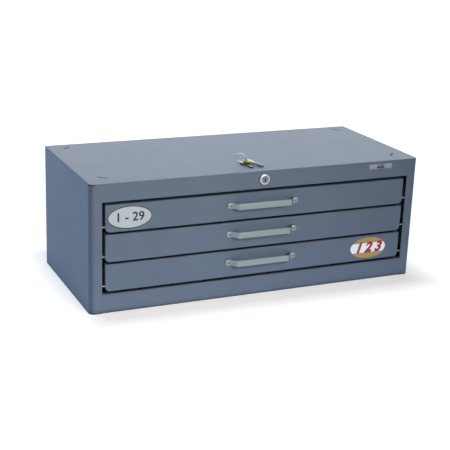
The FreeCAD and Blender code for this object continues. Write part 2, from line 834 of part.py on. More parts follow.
def key_blank():
    """Key along -Y with its hole at the origin and its underside at z = 0, and the length to its tip."""
    bow = Part.makeCylinder(key_bow_radius, key_sheet, FreeCAD.Vector(0, -key_bow_offset, 0))
    neck_end = -key_bow_offset - key_bow_radius - key_neck_length
    neck = block(-key_neck_width / 2, key_neck_width / 2, neck_end, -key_bow_offset, 0, key_sheet)
    half = key_blade_width / 2
    tip = neck_end - key_blade_length
    blade = along_z([(-half, -key_bow_offset, 0), (-half, tip + key_tip, 0), (-half + key_tip, tip, 0),
                     (half - key_tip, tip, 0), (half, tip + key_tip, 0), (half, -key_bow_offset, 0)],
                    0, key_sheet)
    key = bow.fuse([neck, blade]).removeSplitter()
    cutters = [Part.makeCylinder(key_hole_radius, key_sheet + 2 * past, FreeCAD.Vector(0, 0, -past))]
    for i in range(key_notches):
        y = neck_end - key_notch_pitch * (i + 1)
        depth = key_notch_depths[i % len(key_notch_depths)]
        cutters.append(along_z([(half + past, y + depth + past, 0), (half - depth, y, 0),
                                (half + past, y - depth - past, 0)], -past, key_sheet + past))
    return key.cut(cutters), -tip


def bow_heights(reach):
    """Underside of each key at its hole. The upper key leans on the front rim of the lower bow."""
    rim = key_bow_offset + key_bow_radius
    share = (reach - rim) / reach
    upper = (key_rise * share + key_sheet + key_gap) / share
    return [key_rise, upper]


def on_ring(way):
    """Point on the top, this far from the lower key's hole along the line that the ring stands on."""
    turn = math.radians(ring_turn)
    return FreeCAD.Vector(key_from_middle + way * math.cos(turn),
                          front_y + key_from_front + way * math.sin(turn), case_height)


def lay_key(index):
    """Key on the top, with its tip down and its bow lifted by the ring or by the key under it."""
    shape, reach = key_blank()
    lean = math.degrees(math.asin(bow_heights(reach)[index] / reach))
    shape.rotate(FreeCAD.Vector(0, -reach, 0), FreeCAD.Vector(1, 0, 0), lean)
    shape.rotate(FreeCAD.Vector(0, 0, 0), FreeCAD.Vector(0, 0, 1), key_angles[index])
    shape.translate(on_ring(key_shift[index]))
    return shape


def key_ring():
    """Wire ring that stands leaning in the two bows, with its lowest point on the top."""
    ring = Part.makeTorus(ring_radius, ring_wire)
    ring.translate(FreeCAD.Vector(0, ring_radius, 0))
    ring.rotate(FreeCAD.Vector(0, 0, 0), FreeCAD.Vector(1, 0, 0), ring_lean)
    ring.rotate(FreeCAD.Vector(0, 0, 0), FreeCAD.Vector(0, 0, 1), ring_turn)
    ring.translate(on_ring(-ring_from_hole) + FreeCAD.Vector(0, 0, ring_wire))
    return ring


def build_case():
    keep("top_panel", top_panel())
    keep("right_side_panel", side_panel())
    keep("left_side_panel", mirrored(side_panel()))
    keep("bottom_panel", bottom_panel())
    keep("back_panel", back_panel())
    for number in range(1, drawer_count + 1):
        keep("runner_%d_right" % number, runner(number))
        keep("runner_%d_left" % number, mirrored(runner(number)))
    keep("name_plate", name_plate())


def build_drawers():
    for number in range(1, drawer_count + 1):
        drawer = "drawer_%d_" % number
        keep(drawer + "front", drawer_front(number))
        keep(drawer + "pan", drawer_pan(number))
        keep(drawer + "scoop", scoop(number))
        keep(drawer + "dividers", dividers(number))
        keep(drawer + "label_strip", label_strip(number))
        keep(drawer + "right_rail", slide_rail(number))
        keep(drawer + "left_rail", mirrored(slide_rail(number)))
        keep(drawer + "handle", handle(number))
        keep(drawer + "handle_rivets", handle_rivets(number))
        keep(drawer + "catch", catch(number))
    keep("drawer_%d_oval_label" % label_drawer, oval_label())
    keep("drawer_%d_oval_badge" % badge_drawer, oval_badge())


def build_lock():
    keep("lock_housing", lock_housing())
    keep("lock_nut", lock_nut())
    keep("lock_plug", lock_plug())
    keep("lock_rod", lock_rod())
    keep("rod_bracket", rod_bracket())
    keep("crank", crank())
    keep("crank_nut", crank_nut())
    keep("lock_bar", lock_bar())
    keep("lock_bar_guides", bar_guides())


def build_keys():
    keep("key_1", lay_key(0))
    keep("key_2", lay_key(1))
    keep("key_ring", key_ring())


def export_all():
    os.makedirs("parts", exist_ok=True)
    for name, shape in made.items():
        shape.exportStep(os.path.join("parts", name + ".step"))
        box = shape.BoundBox
        print("%-26s %2d solid  %9.1f mm3  %s  x %.1f %.1f  y %.1f %.1f  z %.1f %.1f" % (
            name, len(shape.Solids), shape.Volume, "valid" if shape.isValid() else "INVALID",
            box.XMin, box.XMax, box.YMin, box.YMax, box.ZMin, box.ZMax))


build_case()
build_drawers()
build_lock()
build_keys()
export_all()
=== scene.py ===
# %% [markdown]
# A reamer dispenser cabinet: a folded steel case, three drawers with strap handles, a cam lock in
# the top rail and two keys on the top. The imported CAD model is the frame: it has every part at
# its real size and place. This lesson dresses it. Each CAD node keeps its shape and gets the
# finish of the real part, and the small parts that need more shape than a CAD solid has are
# modelled here and stand for their nodes. Everything is in metres, with X to the right, Y to the
# back and Z up.

import json
import math

import bpy
from mathutils import Matrix, Vector


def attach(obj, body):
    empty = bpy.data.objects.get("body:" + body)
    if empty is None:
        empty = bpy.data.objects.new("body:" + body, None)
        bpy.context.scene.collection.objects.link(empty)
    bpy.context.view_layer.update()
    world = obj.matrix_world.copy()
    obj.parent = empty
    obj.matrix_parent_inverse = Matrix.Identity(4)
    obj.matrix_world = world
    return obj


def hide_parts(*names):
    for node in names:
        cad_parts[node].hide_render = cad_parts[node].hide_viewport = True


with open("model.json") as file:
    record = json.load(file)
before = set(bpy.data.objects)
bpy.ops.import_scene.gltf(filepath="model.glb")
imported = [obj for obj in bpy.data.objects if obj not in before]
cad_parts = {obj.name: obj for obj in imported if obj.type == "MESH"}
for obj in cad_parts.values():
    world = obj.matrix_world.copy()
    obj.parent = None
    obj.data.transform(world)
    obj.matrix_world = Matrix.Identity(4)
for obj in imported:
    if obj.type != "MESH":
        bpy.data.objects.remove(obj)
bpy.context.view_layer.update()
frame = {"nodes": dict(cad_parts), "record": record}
nodes = frame["nodes"]

# %% [markdown]
# The photograph was taken with a longish lens from the left and a little above, with the camera
# turned slightly about its own axis. These figures come from fitting a pinhole camera to the
# straight edges of the case. A camera looks along its own -Z axis, so its matrix is built from
# the line of sight, turned by the roll.

# %% Camera at the photograph's place
MM = 0.001
IMAGE = 450                   # pixels, both ways
FOCAL = 1084.965              # pixels
SENSOR = 36                   # millimetres
NEAREST, FURTHEST = 0.05, 50  # metres
AZIMUTH = math.radians(-24.641)
ELEVATION = math.radians(17.844)
ROLL = math.radians(2.1133)
EYE = Vector((-770.045, -1661.428, 670.041)) * MM


def place_camera():
    level = math.cos(ELEVATION)
    ahead = Vector((-math.sin(AZIMUTH) * level, math.cos(AZIMUTH) * level, -math.sin(ELEVATION)))
    right = Vector((math.cos(AZIMUTH), math.sin(AZIMUTH), 0))
    above = right.cross(ahead)
    turned_right = math.cos(ROLL) * right + math.sin(ROLL) * above
    turned_up = -math.sin(ROLL) * right + math.cos(ROLL) * above
    lens = bpy.data.cameras.new("camera")
    lens.sensor_width = SENSOR
    lens.lens = FOCAL / IMAGE * SENSOR
    lens.clip_start, lens.clip_end = NEAREST, FURTHEST
    camera = bpy.data.objects.new("camera", lens)
    turn = Matrix((turned_right, turned_up, -ahead)).transposed()
    camera.matrix_world = Matrix.Translation(EYE) @ turn.to_4x4()
    bpy.context.scene.collection.objects.link(camera)
    bpy.context.scene.camera = camera
    print("lens:", round(lens.lens, 1), "mm")


place_camera()

# %% [markdown]
# Colours are picked as sRGB hex values, as in any paint program, but shaders work in linear
# light. One function turns one into the other. A second small function adds a node to a material
# with its settings and its links, so that each finish below reads as a short recipe.

# %% Helpers for finishes
def linear(hex_colour):
    """Red, green, blue and alpha in linear light."""
    channels = [int(hex_colour[i:i + 2], 16) / 255 for i in (1, 3, 5)]
    light = [c / 12.92 if c <= 0.04045 else ((c + 0.055) / 1.055) ** 2.4 for c in channels]
    return (*light, 1.0)


def node(tree, kind, settings=None, links=None):
    """A new node. Settings name its properties or sockets, and links name sockets and what feeds
    them. A socket whose name isn't unique is given by its number."""
    made = tree.nodes.new(kind)
    for name, value in (settings or {}).items():
        if isinstance(name, str) and hasattr(made, name):
            setattr(made, name, value)
        else:
            made.inputs[name].default_value = value
    for name, source in (links or {}).items():
        tree.links.new(source, made.inputs[name])
    return made


def finish_named(name):
    """A new material without any node, and its node tree to fill."""
    material = bpy.data.materials.new(name)
    material.use_nodes = True
    tree = material.node_tree
    tree.nodes.clear()
    return material, tree


def per_mm(size_mm):
    """Scale of a noise texture whose features are this many millimetres across."""
    return 1 / (size_mm * MM)


DARK, LIGHT, MIXED = 6, 7, 2  # the colour sockets of a Mix node: two inputs and the output
CASE_BLUE, CASE_SHADE = "#71849d", "#6d8098"
print("case blue in linear light:", [round(c, 3) for c in linear(CASE_BLUE)])

# %% [markdown]
# The cabinet is powder coated: a sprayed plastic film, baked on. It is smooth and has a low
# gloss, and its surface has a faint ripple like orange skin, one or two millimetres across. Sheet
# steel is never quite flat either, so wide, weak waves bend the reflections. A Bevel node rounds
# the light on folded edges, as the fold itself and the film over it do. Shade is painted into the
# colour: nearly black where an Ambient Occlusion node finds little open space, as in seams, gaps
# and the closed cabinet, and a little darker on the upright bends of the sheet, where a normal
# points both sideways and to the front. The specular level is low, because the film hardly
# mirrors the white surroundings. The pale strips inside the drawers have the same film, and only
# a trace of the painted seam shade.

# %% Powder coat on steel
CLOUD_MM = 70.0               # wide differences in tone
SPECK_MM = 2.5                # fine ones, added at a smaller share
SPECK_SHARE = 0.35
TONE_LOW, TONE_HIGH = 0.45, 0.9
RIPPLE_MM, RIPPLE_DEPTH_MM, RIPPLE_STRENGTH = 1.6, 0.05, 0.12
WAVE_MM, WAVE_DEPTH_MM, WAVE_STRENGTH = 90.0, 0.6, 0.25
EDGE_MM = 1.2                 # radius of the light on an edge
SEAM_MM = 12.0                # how far open space is looked for
SEAM_CLOSED, SEAM_OPEN = 0.15, 0.8
# Painted shade: the paint colour is darkened to these shares deep in a seam and in the middle of
# an upright bend.
SEAM_PAINTED_SHADE = 0.03              # brightness of the film deep in a seam
BEND_PAINTED_SHADE = 0.84              # and in the middle of an upright bend
BEND_MIDDLE = 0.25            # square of X times Y of a normal at 45 degrees
GLOSS_LOW, GLOSS_HIGH = 0.04, 0.06
FILM_IOR, FILM_SPECULAR = 1.5, 0.08


def powder_coated_steel(name, hex_colour, hex_shade, roughness=0.42, painted_seam_level=SEAM_PAINTED_SHADE):
    material, tree = finish_named(name)
    coordinates = node(tree, "ShaderNodeTexCoord")
    place = {"Vector": coordinates.outputs["Object"]}
    clouds = node(tree, "ShaderNodeTexNoise", {"Scale": per_mm(CLOUD_MM), "Detail": 3.0}, place)
    specks = node(tree, "ShaderNodeTexNoise", {"Scale": per_mm(SPECK_MM), "Detail": 2.0}, place)
    both = node(tree, "ShaderNodeMath", {"operation": "MULTIPLY_ADD", 1: SPECK_SHARE},
                {0: specks.outputs["Fac"], 2: clouds.outputs["Fac"]})
    tone = node(tree, "ShaderNodeMapRange", {"From Min": TONE_LOW, "From Max": TONE_HIGH},
                {"Value": both.outputs[0]})
    colour = node(tree, "ShaderNodeMix",
                  {"data_type": "RGBA", DARK: linear(hex_shade), LIGHT: linear(hex_colour)},
                  {0: tone.outputs[0]})

    # Painted shade on upright bends: darker where a normal points both sideways and to the front.
    facing = node(tree, "ShaderNodeSeparateXYZ", {}, {0: coordinates.outputs["Normal"]})
    diagonal = node(tree, "ShaderNodeMath", {"operation": "MULTIPLY"},
                    {0: facing.outputs["X"], 1: facing.outputs["Y"]})
    bent = node(tree, "ShaderNodeMath", {"operation": "MULTIPLY"},
                {0: diagonal.outputs[0], 1: diagonal.outputs[0]})
    painted_bend_shade = node(tree, "ShaderNodeMapRange",
                   {"From Max": BEND_MIDDLE, "To Min": 1.0, "To Max": BEND_PAINTED_SHADE},
                   {"Value": bent.outputs[0]})
    # Painted shade in seams: the colour goes nearly black where the Ambient Occlusion node finds
    # little open space.
    space = node(tree, "ShaderNodeAmbientOcclusion", {"samples": 8, "Distance": SEAM_MM * MM})
    painted_seam_shade = node(tree, "ShaderNodeMapRange",
                   {"From Min": SEAM_CLOSED, "From Max": SEAM_OPEN, "To Min": painted_seam_level,
                    "To Max": 1.0},
                   {"Value": space.outputs["AO"]})
    seam_and_bend_shade = node(tree, "ShaderNodeMath", {"operation": "MULTIPLY"},
                {0: painted_bend_shade.outputs[0], 1: painted_seam_shade.outputs[0]})
    paint = node(tree, "ShaderNodeVectorMath", {"operation": "SCALE"},
                 {0: colour.outputs[MIXED], "Scale": seam_and_bend_shade.outputs[0]})

    ripple = node(tree, "ShaderNodeTexNoise", {"Scale": per_mm(RIPPLE_MM), "Detail": 1.5}, place)
    wave = node(tree, "ShaderNodeTexNoise", {"Scale": per_mm(WAVE_MM), "Detail": 1.0}, place)
    soft_edge = node(tree, "ShaderNodeBevel", {"samples": 4, "Radius": EDGE_MM * MM})
    rippled = node(tree, "ShaderNodeBump",
                   {"Strength": RIPPLE_STRENGTH, "Distance": RIPPLE_DEPTH_MM * MM},
                   {"Height": ripple.outputs["Fac"], "Normal": soft_edge.outputs[0]})
    waved = node(tree, "ShaderNodeBump",
                 {"Strength": WAVE_STRENGTH, "Distance": WAVE_DEPTH_MM * MM},
                 {"Height": wave.outputs["Fac"], "Normal": rippled.outputs[0]})
    gloss = node(tree, "ShaderNodeMapRange",
                 {"To Min": roughness - GLOSS_LOW, "To Max": roughness + GLOSS_HIGH},
                 {"Value": specks.outputs["Fac"]})
    shader = node(tree, "ShaderNodeBsdfPrincipled",
                  {"IOR": FILM_IOR, "Specular IOR Level": FILM_SPECULAR},
                  {"Base Color": paint.outputs[0], "Roughness": gloss.outputs[0],
                   "Normal": waved.outputs[0]})
    node(tree, "ShaderNodeOutputMaterial", {}, {"Surface": shader.outputs[0]})
    print(name, len(tree.nodes), "nodes")
    return material


case_paint = powder_coated_steel("powder_coated_steel_case", CASE_BLUE, CASE_SHADE)
# The pale strips get only a trace of the painted seam shade.
strip_paint = powder_coated_steel("powder_coated_steel_strip", "#dfe1df", "#d8dad8", 0.45, 0.9)

# %% [markdown]
# Plated parts are bare metal, so each has a metallic shader whose colour is that of its
# reflections. Zinc plating is pale, slightly blue or green, and satin, with faint streaks along
# the rolled strap. Chrome is a mirror with a little haze, and the plug's chrome is darker, a
# painted dark reflection. Aluminium, brass, the broken steel pins, dark partly from painted shade,
# the nickel silver of the key blades, painted dark as shade, and the nickel on the ring differ
# only in colour, haze and grain, so one recipe serves them all. The grain is a noise a millimetre
# or so across that changes colour, haze and relief together.

# %% Plated metals
METAL_EDGE_MM = 0.25          # radius of the light on an edge
GRAIN_DEPTH_MM = 0.03
HAZE_LOW, HAZE_HIGH = 0.75, 1.25


def plated_metal(name, hex_colour, hex_shade, roughness, grain_mm, streaks=(1, 1, 1), bump=0.1):
    material, tree = finish_named(name)
    place = node(tree, "ShaderNodeTexCoord").outputs["Object"]
    stretched = node(tree, "ShaderNodeMapping", {"Scale": streaks}, {"Vector": place})
    grain = node(tree, "ShaderNodeTexNoise", {"Scale": per_mm(grain_mm), "Detail": 4.0},
                 {"Vector": stretched.outputs[0]})
    colour = node(tree, "ShaderNodeMix",
                  {"data_type": "RGBA", DARK: linear(hex_shade), LIGHT: linear(hex_colour)},
                  {0: grain.outputs["Fac"]})
    haze = node(tree, "ShaderNodeMapRange",
                {"To Min": roughness * HAZE_LOW, "To Max": roughness * HAZE_HIGH},
                {"Value": grain.outputs["Fac"]})
    soft_edge = node(tree, "ShaderNodeBevel", {"samples": 4, "Radius": METAL_EDGE_MM * MM})
    relief = node(tree, "ShaderNodeBump", {"Strength": bump, "Distance": GRAIN_DEPTH_MM * MM},
                  {"Height": grain.outputs["Fac"], "Normal": soft_edge.outputs[0]})
    shader = node(tree, "ShaderNodeBsdfPrincipled", {"Metallic": 1.0},
                  {"Base Color": colour.outputs[MIXED], "Roughness": haze.outputs[0],
                   "Normal": relief.outputs[0]})
    node(tree, "ShaderNodeOutputMaterial", {}, {"Surface": shader.outputs[0]})
    print(name, hex_colour)
    return material


strap_zinc = plated_metal("zinc_plated_steel_strap", "#8b989a", "#7b898f", 0.38, 0.8, (0.15, 1, 1))
sheet_zinc = plated_metal("zinc_plated_steel_sheet", "#b9bdc0", "#a3a8ac", 0.42, 3.0)
chrome = plated_metal("chrome_plated_zinc_casting", "#b6bcc1", "#a7adb3", 0.15, 1.0, bump=0.02)
# The plug's chrome is darker: a painted dark reflection.
plug_chrome_painted_dark = plated_metal("chrome_plated_plug_painted_dark", "#7c8288", "#6b7278", 0.22, 0.8, bump=0.05)
aluminium = plated_metal("drawn_aluminium", "#8f969a", "#7f868b", 0.3, 0.6)
brass = plated_metal("dull_brass", "#807a44", "#666136", 0.35, 1.2)
# The pins' colour is partly dull steel and partly painted shade of their hollow.
pin_steel_and_shade = plated_metal("steel_pin_with_painted_shade", "#2c3032", "#222628", 0.5, 0.8)
# The key blades are painted dark: painted shade over nickel silver.
blade_metal_painted_dark = plated_metal("key_blade_with_painted_shade", "#484d47", "#3b403b", 0.3, 1.2)
nickel_wire = plated_metal("nickel_plated_wire", "#f0f3f5", "#e4e8ea", 0.22, 1.0)

# %% [markdown]
# Most parts of the cabinet are right as the CAD model has them: folded sheet, rails, runners,
# rods. They only need the finish of the real part, and the record says by its material slot which
# that is.

# %% Finishes of the CAD nodes
FINISH_OF_SLOT = {
    "case_paint": case_paint, "drawer_paint": case_paint, "tray_paint": case_paint,
    "strip_paint": strip_paint, "runner_zinc": sheet_zinc, "hardware_zinc": sheet_zinc,
    "handle_zinc": strap_zinc, "rivet_aluminium": aluminium, "lock_chrome": chrome,
    "plate_silver": aluminium, "badge_gold": brass, "key_brass": brass, "ring_steel": nickel_wire}

for part in frame["record"]["subparts"]:
    held = nodes[part["node"]].data.materials
    held.clear()
    held.append(FINISH_OF_SLOT[part["material_slot"]])

# %% [markdown]
# Pieces are modelled as a learner would do it by hand: a primitive to begin with, then the
# edit-mode operators for extruding, spinning, bevelling and insetting. Lengths below are in
# millimetres, as on the drawing, and a small function turns them into metres. A finished piece
# keeps its place in its mesh, its edges are smooth where they are meant to be, and its normals
# point outwards. An operator acts on all that is selected, so a new piece starts with nothing
# else selected.

# %% Helpers for modelling
MERGE_MM = 0.001              # points nearer than this become one
LEVEL_MM = 0.1                # an edge whose ends differ less in height is level


def mm(*lengths):
    return tuple(length * MM for length in lengths)


def edit(piece):
    """Only this piece is selected and open for editing, with everything in it selected."""
    bpy.ops.object.select_all(action="DESELECT")
    piece.select_set(True)
    bpy.context.view_layer.objects.active = piece
    bpy.ops.object.mode_set(mode="EDIT")
    bpy.ops.mesh.select_all(action="SELECT")


def new_piece(name):
    """The piece that a primitive operator has just made, named and open for editing."""
    piece = bpy.context.active_object
    piece.name = piece.data.name = name
    edit(piece)
    return piece


def choose(piece, kind, wanted):
    """Selects the edges or faces whose corners, in millimetres, meet a condition."""
    bpy.ops.mesh.select_all(action="DESELECT")
    bpy.ops.mesh.select_mode(type=kind)
    bpy.ops.object.mode_set(mode="OBJECT")
    mesh = piece.data
    for item in mesh.edges if kind == "EDGE" else mesh.polygons:
        item.select = bool(wanted([mesh.vertices[i].co / MM for i in item.vertices]))
    bpy.ops.object.mode_set(mode="EDIT")


def is_level(ends):
    return abs(ends[0].z - ends[1].z) < LEVEL_MM


def close(piece, smooth_angle=35):
    """Leaves edit mode with outward normals and smooth shading up to an angle in degrees."""
    bpy.ops.mesh.select_mode(type="VERT")
    bpy.ops.mesh.select_all(action="SELECT")
    bpy.ops.mesh.remove_doubles(threshold=MERGE_MM * MM)
    bpy.ops.mesh.normals_make_consistent(inside=False)
    bpy.ops.object.mode_set(mode="OBJECT")
    bpy.ops.object.shade_smooth_by_angle(angle=math.radians(smooth_angle))
    return piece


def dress(piece, finish, body, slot, *stands_for):
    """Finish, body to ride on, material slot (not used), and the CAD nodes that the piece stands
    for.
    """
    if finish:
        piece.data.materials.append(finish)
    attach(piece, body)
    if stands_for:
        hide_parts(*stands_for)
    print(piece.name, len(piece.data.polygons), "faces")


# %% [markdown]
# A handle is one flat strap of steel, 1.6 mm thick, sheared to length, pierced at both ends and
# pressed into shape. Here the section of the strap is a small rectangle that is extruded along
# the straight runs and spun around the bends, from the right foot over the bar to the left foot.
# Then the ends are rounded and the sheared edges are broken slightly.

# %% Strap handles
FACE_Y = -129.5               # front of the drawers
STRAP = 1.6
STRAP_WIDTH = 10.3
HALF_LENGTH = 64.5
FOOT_RUN = 8.63
LEG_RUN = 10.51
BAR_RUN = 89.88
FOOT_RADIUS = 2.2             # middle of the strap
BAR_RADIUS = 3.8
LEG_ANGLE = 55.15             # degrees
BEND_STEPS = 8
END_RADIUS, END_STEPS = 3.5, 8
BROKEN_EDGE, BROKEN_STEPS = 0.3, 2
SHARP = 50                    # degrees
HANDLE_Z = {1: 159.5, 2: 110.5, 3: 61.5}
HALF_PATH = (("run", FOOT_RUN, 0), ("left", LEG_ANGLE, FOOT_RADIUS),
             ("run", LEG_RUN, 0), ("right", LEG_ANGLE, BAR_RADIUS))
STRAP_PATH = HALF_PATH + (("run", BAR_RUN, 0),) + HALF_PATH[::-1]


def strap_section(name, place):
    """The outline of the strap's end, standing across X at its place."""
    bpy.ops.object.select_all(action="DESELECT")
    bpy.ops.mesh.primitive_plane_add(size=1)
    piece = new_piece(name)
    bpy.ops.transform.rotate(value=math.pi / 2, orient_axis="Y", center_override=(0, 0, 0))
    bpy.ops.transform.resize(value=mm(1, STRAP, STRAP_WIDTH), center_override=(0, 0, 0))
    bpy.ops.transform.translate(value=mm(*place))
    bpy.ops.mesh.delete(type="ONLY_FACE")
    bpy.ops.mesh.select_all(action="SELECT")
    return piece


def strap_handle(number):
    x, y, heading = HALF_LENGTH, FACE_Y - STRAP / 2, 180.0
    piece = strap_section("drawer_%d_strap_handle" % number, (x, y, HANDLE_Z[number]))
    for kind, amount, radius in STRAP_PATH:
        ahead = Vector((math.cos(math.radians(heading)), math.sin(math.radians(heading))))
        if kind == "run":
            step = mm(ahead.x * amount, ahead.y * amount, 0)
            bpy.ops.mesh.extrude_edges_move(TRANSFORM_OT_translate={"value": step})
            x, y = x + ahead.x * amount, y + ahead.y * amount
            continue
        side = 1 if kind == "left" else -1
        hub = (x - ahead.y * radius * side, y + ahead.x * radius * side)
        bpy.ops.mesh.spin(steps=BEND_STEPS, angle=-math.radians(amount) * side,
                          center=mm(*hub, 0), axis=(0, 0, 1))
        heading += amount * side
        angle = math.radians(heading)
        x, y = hub[0] + math.sin(angle) * radius * side, hub[1] - math.cos(angle) * radius * side
    bpy.ops.mesh.select_all(action="SELECT")
    bpy.ops.mesh.fill_holes(sides=0)
    choose(piece, "EDGE", lambda ends: is_level(ends)
           and min(abs(corner.x) for corner in ends) > HALF_LENGTH - 0.01)
    bpy.ops.mesh.bevel(offset=END_RADIUS * MM, segments=END_STEPS, affect="EDGES")
    bpy.ops.mesh.select_all(action="DESELECT")
    bpy.ops.mesh.edges_select_sharp(sharpness=math.radians(SHARP))
    bpy.ops.mesh.bevel(offset=BROKEN_EDGE * MM, segments=BROKEN_STEPS, affect="EDGES")
    return close(piece)


for number in HANDLE_Z:
    dress(strap_handle(number), strap_zinc, "drawer_%d" % number, "handle_zinc",
          "drawer_%d_handle" % number)

# %% [markdown]
# Blind rivets hold the handles. Seen from outside, such a rivet is a low ring of aluminium around
# the broken end of the steel pin that pulled it tight, which sits a little deeper. The pin's very
# dark colour is partly the steel's own and partly painted shade of that hollow.
# Behind the sheets its tail is squeezed into a bulge. A rivet is a turned part: its profile is
# drawn by extruding one point from place to place, and then spun once around its axis.

# %% Helpers for turned parts
def point_at(name, place):
    """A piece of one point: a plane whose corners are merged. Extruding the point draws a line."""
    bpy.ops.object.select_all(action="DESELECT")
    bpy.ops.mesh.primitive_plane_add(size=MM)
    piece = new_piece(name)
    bpy.ops.mesh.merge(type="CENTER")
    bpy.ops.transform.translate(value=mm(*place))
    return piece


def draw_line(places):
    """Extrudes the selected point from place to place; the first is where it is."""
    for here, there in zip(places, places[1:]):
        step = [b - a for a, b in zip(here, there)]
        bpy.ops.mesh.extrude_vertices_move(TRANSFORM_OT_translate={"value": mm(*step)})


def turned(name, profile, x, z, steps):
    """A turned part about a line along Y. The profile is (radius, y), closed or on the line."""
    piece = point_at(name, (x + profile[0][0], profile[0][1], z))
    draw_line([(radius, y, 0) for radius, y in profile])
    bpy.ops.mesh.select_all(action="SELECT")
    bpy.ops.mesh.spin(steps=steps, angle=math.tau, center=mm(x, 0, z), axis=(0, 1, 0))
    return close(piece)


def finish_faces(piece, finish, wanted):
    """Gives a further finish to the faces whose corners, in millimetres, meet a condition."""
    piece.data.materials.append(finish)
    count = 0
    for face in piece.data.polygons:
        if wanted([piece.data.vertices[i].co / MM for i in face.vertices]):
            face.material_index = len(piece.data.materials) - 1
            count += 1
    print(piece.name, finish.name, "on", count, "faces")


# %% Blind rivets
RIVET_X = 59.4
RIVET_STEPS = 32
PIN_RADIUS = 1.25             # between the pin and the crest of the ring around it
HEAD_Y = FACE_Y - STRAP       # front of the strap
TAIL_Y = -127.7               # back of the sheets
RIVET_HEAD = ((0, -0.35), (0.85, -0.35), (1.0, -0.2), (1.1, -0.2), (1.15, -1.1), (1.35, -1.3),
              (1.75, -1.28), (2.5, -0.95), (3.1, -0.5), (3.4, -0.15), (3.4, 0), (2.0, 0))
RIVET_TAIL = ((2.0, 0), (2.6, 0), (2.8, 0.35), (2.7, 0.9), (2.2, 1.3), (0, 1.4))


def blind_rivet(name, x, z):
    profile = [(radius, HEAD_Y + y) for radius, y in RIVET_HEAD]
    profile += [(radius, TAIL_Y + y) for radius, y in RIVET_TAIL]
    return turned(name, profile, x, z, RIVET_STEPS)


for number, z in HANDLE_Z.items():
    for side, x in (("left", -RIVET_X), ("right", RIVET_X)):
        rivet = blind_rivet("drawer_%d_%s_rivet" % (number, side), x, z)
        dress(rivet, aluminium, "drawer_%d" % number, "rivet_aluminium",
              "drawer_%d_handle_rivets" % number)
        # The pin's faces get a colour that is partly dull steel and partly painted shade.
        finish_faces(rivet, pin_steel_and_shade, lambda corners: all(
            c.y < HEAD_Y and math.hypot(c.x - x, c.z - z) < PIN_RADIUS for c in corners))

# %% [markdown]
# The cam lock is a zinc casting with chrome plating. Its face is a low dome around the plug, and
# its barrel is threaded for the nut. The plug's face is dished towards the keyway, which guides
# the key in. Both are turned parts, and a boolean takes the keyway out of the plug.

# %% Helpers for round profiles and cuts
def arc(middle, radius, start, end, steps):
    """Points of an arc in a profile, with angles in degrees."""
    points = []
    for i in range(steps + 1):
        angle = math.radians(start + (end - start) * i / steps)
        points.append((middle[0] + radius * math.cos(angle), middle[1] + radius * math.sin(angle)))
    return points


def box_cutter(low, high):
    bpy.ops.mesh.primitive_cube_add(size=1)
    cutter = new_piece("cutter")
    size = [b - a for a, b in zip(low, high)]
    middle = [(a + b) / 2 for a, b in zip(low, high)]
    bpy.ops.transform.resize(value=mm(*size), center_override=(0, 0, 0))
    bpy.ops.transform.translate(value=mm(*middle))
    bpy.ops.object.mode_set(mode="OBJECT")
    return cutter


def cut(piece, cutter):
    """Takes the cutter's shape out of the piece with a boolean, and deletes the cutter."""
    knife = piece.modifiers.new("cut", "BOOLEAN")
    knife.operation = "DIFFERENCE"
    knife.object = cutter
    bpy.ops.object.select_all(action="DESELECT")
    bpy.context.view_layer.objects.active = piece
    bpy.ops.object.modifier_apply(modifier=knife.name)
    bpy.data.objects.remove(cutter)


# %% Cam lock
LOCK_Z = 200.0
LOCK_STEPS = 64
FRONT_Y = -130.5              # front of the top rail
RIM_RADIUS, RIM_RISE = 9.5, 3.25
DOME_RADIUS, DOME_RISE = 7.1, 1.2              # middle of the arc that rounds the rim
BORE = 5.75                   # radii of the bore and the barrel
BARREL, BARREL_LENGTH = 8.0, 18
THREADS, THREAD_ROOT, THREAD_PITCH, THREAD_START = 16, 7.6, 1.0, 1.4
PLUG, PLUG_RISE, PLUG_LENGTH = 5.7, 4.1, 22
ROD, ROD_SOCKET = 2.55, 5     # radius and depth of the socket for the rod
KEYWAY_HALF_WIDTH, KEYWAY_HALF_HEIGHT, KEYWAY_DEPTH = 0.85, 3.2, 15


def lock_face():
    edge, tail = FRONT_Y - RIM_RISE, FRONT_Y + BARREL_LENGTH
    profile = [(BORE, edge), (BORE + 0.2, edge - 0.3)]
    profile += arc((DOME_RADIUS, FRONT_Y - DOME_RISE), RIM_RADIUS - DOME_RADIUS, -100, 0, 10)
    profile += [(RIM_RADIUS, FRONT_Y), (BARREL, FRONT_Y)]
    for i in range(THREADS):
        y = FRONT_Y + THREAD_START + THREAD_PITCH * i
        profile += [(BARREL, y), (THREAD_ROOT, y + THREAD_PITCH / 2)]
    profile += [(BARREL, tail - 0.4), (BARREL - 0.2, tail), (BORE, tail), (BORE, edge)]
    return turned("cam_lock_housing", profile, 0, LOCK_Z, LOCK_STEPS)


def lock_barrel_plug():
    face, tail = FRONT_Y - PLUG_RISE, FRONT_Y + PLUG_LENGTH
    dish = [(0, face + 0.35), (1.4, face + 0.35), (4.2, face + 0.05), (4.7, face), (5.3, face)]
    side = [(PLUG, face + 0.4), (PLUG, tail - 0.4), (5.3, tail)]
    socket = [(ROD, tail), (ROD, tail - ROD_SOCKET), (0, tail - ROD_SOCKET)]
    plug = turned("cam_lock_plug", dish + side + socket, 0, LOCK_Z, LOCK_STEPS)
    cut(plug, box_cutter((-KEYWAY_HALF_WIDTH, face - 1, LOCK_Z - KEYWAY_HALF_HEIGHT),
                         (KEYWAY_HALF_WIDTH, face + KEYWAY_DEPTH, LOCK_Z + KEYWAY_HALF_HEIGHT)))
    return plug


dress(lock_face(), chrome, "cabinet", "lock_chrome", "lock_housing")
# The plug gets the darker chrome, a painted dark reflection.
dress(lock_barrel_plug(), plug_chrome_painted_dark, "lock", "lock_chrome", "lock_plug")
